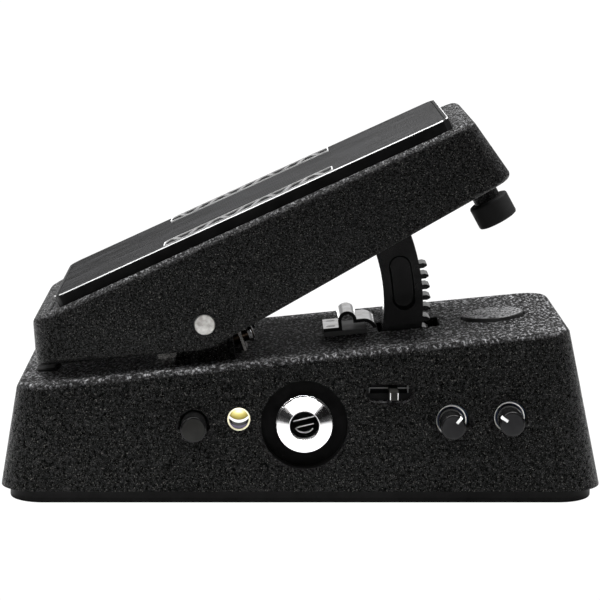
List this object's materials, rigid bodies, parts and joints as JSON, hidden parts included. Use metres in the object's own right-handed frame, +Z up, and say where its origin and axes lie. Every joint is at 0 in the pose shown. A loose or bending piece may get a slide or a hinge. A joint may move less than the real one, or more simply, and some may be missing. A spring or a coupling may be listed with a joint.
{
  "type": "rocker effects pedal",
  "caption": "Mini rocker pedal: a ribbed treadle swings a curved rack into a cast housing with side jack, button, lamp, slide switch and knobs.",
  "frame": {"origin": "centre of the rubber base where it stands on the floor", "axes": "+X from heel to toe, +Y from the control side to the far side, +Z up"},
  "size_m": [0.134, 0.0704, 0.085],
  "materials": {
    "base_rubber": "smooth matte moulded rubber",
    "plate_steel": "plain zinc plated sheet",
    "screw_steel": "zinc plated",
    "housing_coat": "coarse black powder coat with fine sparkle",
    "treadle_coat": "finer black powder coat",
    "bumper_rubber": "soft black rubber",
    "nylon_cream": "moulded nylon",
    "spring_steel": "bright spring steel",
    "nut_chrome": "bright nickel plate",
    "strap_chrome": "mirror bright plate",
    "black_plastic": "black moulded plastic",
    "board_green": "green solder mask",
    "inductor_red": "dipped lacquer",
    "capacitor_blue": "shrink sleeve",
    "capacitor_green": "dipped film",
    "cable_grey": "flat ribbon cable",
    "led_lens": "clear domed lens",
    "pot_blue": "sealed potentiometer case",
    "tread_rubber": "satin ribbed rubber",
    "axle_steel": "cut steel bar",
    "rack_plastic": "black acetal",
    "pinion_plastic": "white acetal",
    "disc_felt": "grey grained pad",
    "button_plastic": "satin black plastic",
    "knob_plastic": "satin black plastic with a white line"
  },
  "bodies": {
    "base_body": {"base_pad": "base_rubber", "base_plate": "plate_steel", "base_screws": "screw_steel", "housing": "housing_coat", "heel_stop": "bumper_rubber", "axle_bushes": "nylon_cream", "tension_clamp": "spring_steel", "tension_bolts": "screw_steel", "tension_nuts": "nut_chrome", "clamp_screws": "screw_steel", "guide_base": "black_plastic", "guide_strap": "strap_chrome", "guide_screws": "screw_steel", "output_jack": "black_plastic", "input_jack": "black_plastic", "jack_washers": "nut_chrome", "jack_nuts": "nut_chrome", "dc_jack": "black_plastic", "dc_jack_nut": "nut_chrome", "control_board": "board_green", "control_board_screws": "screw_steel", "main_board": "board_green", "main_board_screws": "screw_steel", "inductor": "inductor_red", "electrolytic_caps": "capacitor_blue", "film_caps": "capacitor_green", "amp_chips": "black_plastic", "ribbon_cable": "cable_grey", "wah_pot": "plate_steel", "wah_pot_nut": "nut_chrome", "wah_pot_bracket": "plate_steel", "bracket_screws": "screw_steel", "footswitch_body": "black_plastic", "footswitch_nut": "nut_chrome", "boost_switch": "black_plastic", "status_led": "led_lens", "range_switch": "plate_steel", "knob_pots": "pot_blue"},
    "treadle_body": {"treadle": "treadle_coat", "tread_pad": "tread_rubber", "axle": "axle_steel", "axle_clips": "spring_steel", "gear_rack": "rack_plastic", "rack_screws": "screw_steel", "toe_bumper": "bumper_rubber", "bumper_screw": "screw_steel"},
    "pot_shaft_body": {"pot_spindle": "axle_steel", "pinion": "pinion_plastic"},
    "footswitch_button": {"footswitch_plunger": "axle_steel", "footswitch_disc": "disc_felt"},
    "boost_button_body": {"boost_button": "button_plastic"},
    "range_lever_body": {"range_lever": "button_plastic"},
    "volume_knob_body": {"volume_knob": "knob_plastic"},
    "tone_knob_body": {"tone_knob": "knob_plastic"}
  },
  "joints": [
    {"name": "treadle_tilt", "type": "hinge", "parent": "base_body", "child": "treadle_body", "pos_m": [-0.0214, 0, 0.03926], "axis": [0, 1, 0], "range_deg": [-2.5, 16.5]},
    {"name": "pot_turn", "type": "hinge", "parent": "base_body", "child": "pot_shaft_body", "pos_m": [0.03244, 0, 0.02246], "axis": [0, 1, 0], "range_deg": [-153.7, 26.7]},
    {"name": "footswitch_press", "type": "slide", "parent": "base_body", "child": "footswitch_button", "axis": [0.1012, 0, -0.9949], "range_m": [0, 0.0016], "stiffness_N_per_m": 900, "springref_m": -0.001},
    {"name": "boost_press", "type": "slide", "parent": "base_body", "child": "boost_button_body", "axis": [0, 1, 0], "range_m": [0, 0.0015], "stiffness_N_per_m": 500, "springref_m": -0.001},
    {"name": "range_select", "type": "slide", "parent": "base_body", "child": "range_lever_body", "axis": [1, 0, 0], "range_m": [-0.0034, 0.0017]},
    {"name": "volume_turn", "type": "hinge", "parent": "base_body", "child": "volume_knob_body", "pos_m": [0.0332, -0.028, 0.0185], "axis": [0, 1, 0], "range_deg": [-189, 111]},
    {"name": "tone_turn", "type": "hinge", "parent": "base_body", "child": "tone_knob_body", "pos_m": [0.0461, -0.028, 0.0192], "axis": [0, 1, 0], "range_deg": [-93, 207]}
  ],
  "couplings": [
    {"joint": "pot_turn", "follows": "treadle_tilt", "ratio": -9.0714}
  ]
}
